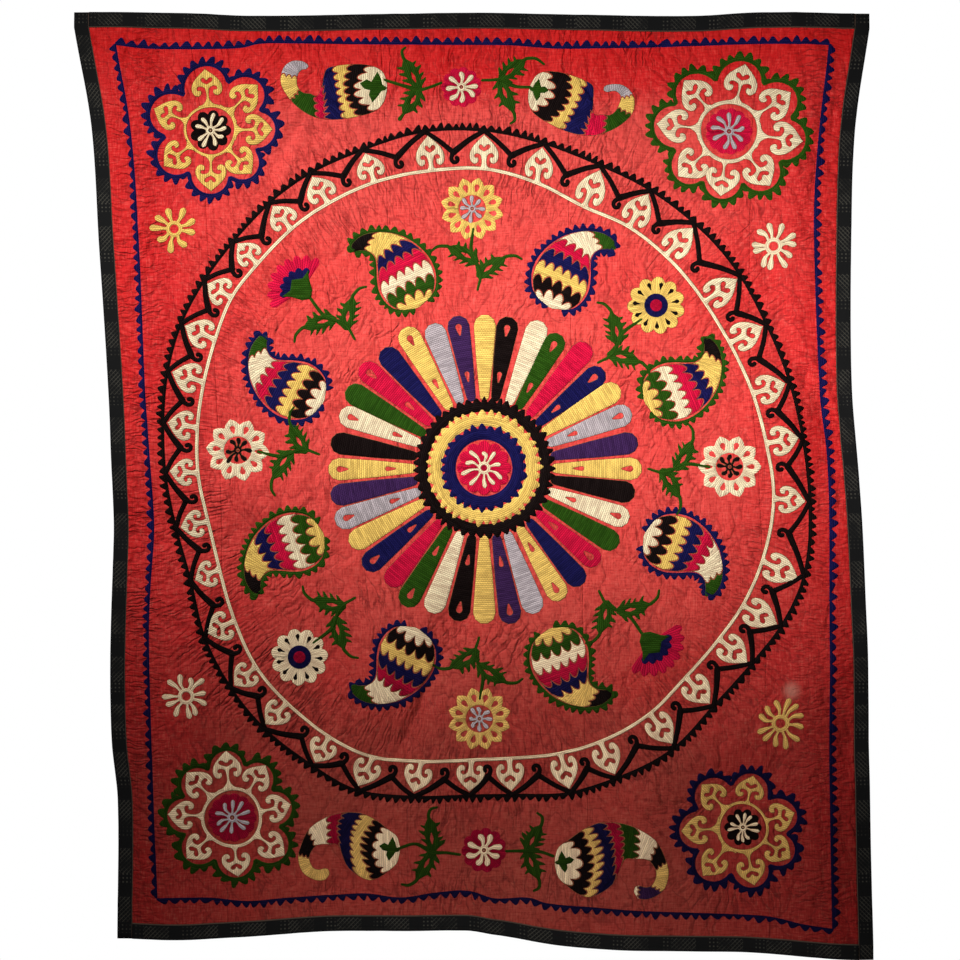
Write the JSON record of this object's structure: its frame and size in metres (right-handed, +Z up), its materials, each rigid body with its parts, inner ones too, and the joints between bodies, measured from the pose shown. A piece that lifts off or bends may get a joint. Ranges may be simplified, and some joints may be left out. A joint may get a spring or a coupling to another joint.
{
  "type": "suzani embroidered wall hanging",
  "caption": "Hung rectangular textile of narrow red lengths sewn side by side, bound in black on all four sides, with soft hanging folds.",
  "frame": {"origin": "middle of the top edge, where the hanging is held", "axes": "+Z up, +X to the right of someone who faces it, +Y into the wall behind it"},
  "size_m": [1.7544, 0.0418, 2.0791],
  "materials": {
    "red_cotton": "matt woven cotton with a slight sheen",
    "black_binding": "matt black cotton with a fine pale check",
    "thread_cream": "twisted thread, soft sheen",
    "thread_black": "twisted thread, soft sheen",
    "thread_blue": "twisted thread, soft sheen",
    "thread_green": "twisted thread, soft sheen",
    "thread_magenta": "twisted thread, soft sheen",
    "thread_yellow": "twisted thread, soft sheen",
    "thread_grey": "twisted thread, soft sheen",
    "thread_purple": "twisted thread, soft sheen"
  },
  "bodies": {
    "root": {"ground_length_1": "red_cotton", "ground_length_2": "red_cotton", "ground_length_3": "red_cotton", "ground_length_4": "red_cotton", "ground_length_5": "red_cotton", "binding_left": "black_binding", "binding_right": "black_binding", "binding_top": "black_binding", "binding_bottom": "black_binding"}
  },
  "joints": []
}
